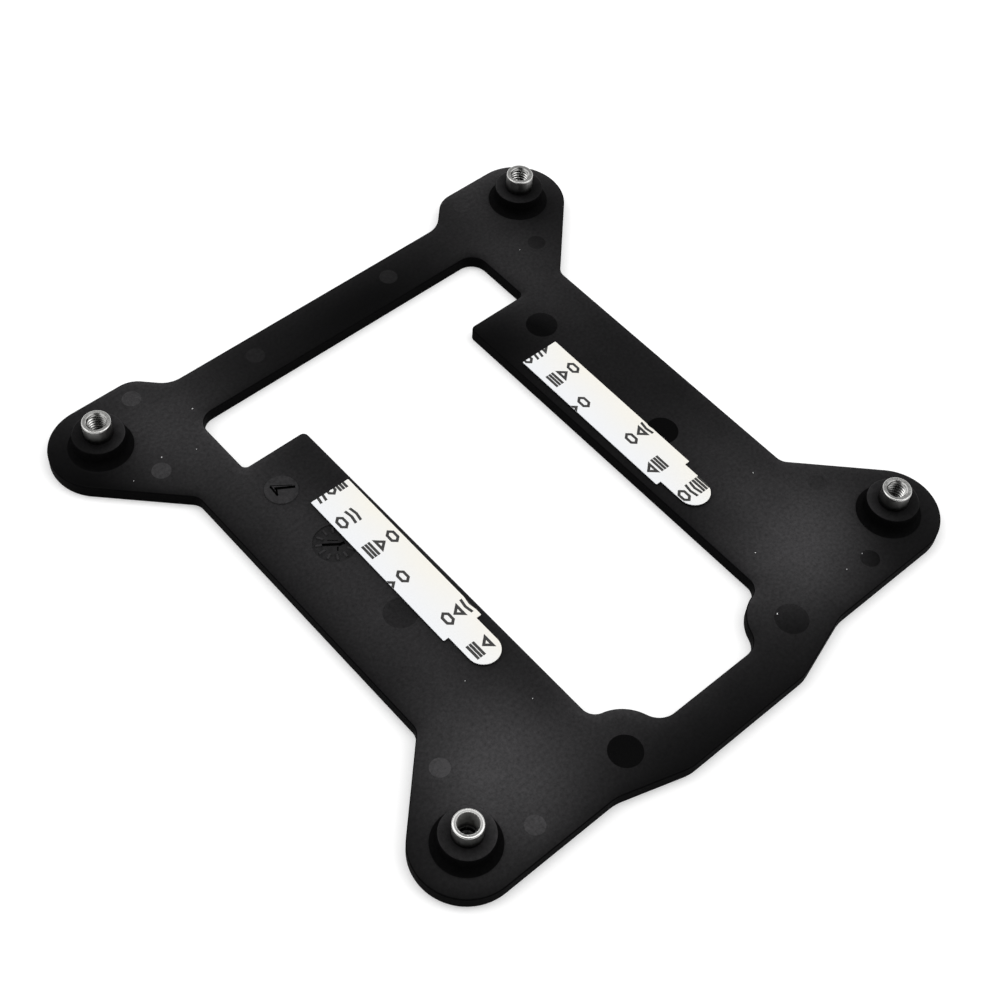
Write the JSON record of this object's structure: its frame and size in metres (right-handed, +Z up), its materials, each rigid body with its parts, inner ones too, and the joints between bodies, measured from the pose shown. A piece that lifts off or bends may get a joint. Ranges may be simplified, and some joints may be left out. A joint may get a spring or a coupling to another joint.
{
  "type": "cpu cooler mounting bracket",
  "caption": "Flat moulded back bracket with a central opening, a threaded standoff on a raised boss at each corner, and adhesive strips under pull-tab liners.",
  "frame": {"origin": "on the flat underside of the plate, at the middle of the plate's outline; the square post pattern's centre is at y = 0.0015", "axes": "+Z up from the flat underside towards the posts' open ends, +Y from the bottom bar towards the top bar with the wide window, +X to the right as seen from above with the bottom bar nearest"},
  "size_m": [0.0892, 0.0922, 0.0072],
  "materials": {
    "moulded_plastic": "black moulded plastic with a fine satin grain",
    "standoff_metal": "bright nickel-plated steel",
    "adhesive_tape": "black double-sided adhesive tape",
    "liner_paper": "smooth white coated release paper with faint grey print"
  },
  "bodies": {
    "root": {"bracket_plate": "moulded_plastic", "standoff_front_left": "standoff_metal", "standoff_front_right": "standoff_metal", "standoff_rear_left": "standoff_metal", "standoff_rear_right": "standoff_metal", "tape_strip_left": "adhesive_tape", "tape_strip_right": "adhesive_tape", "release_liner_left": "liner_paper", "release_liner_right": "liner_paper"}
  },
  "joints": []
}
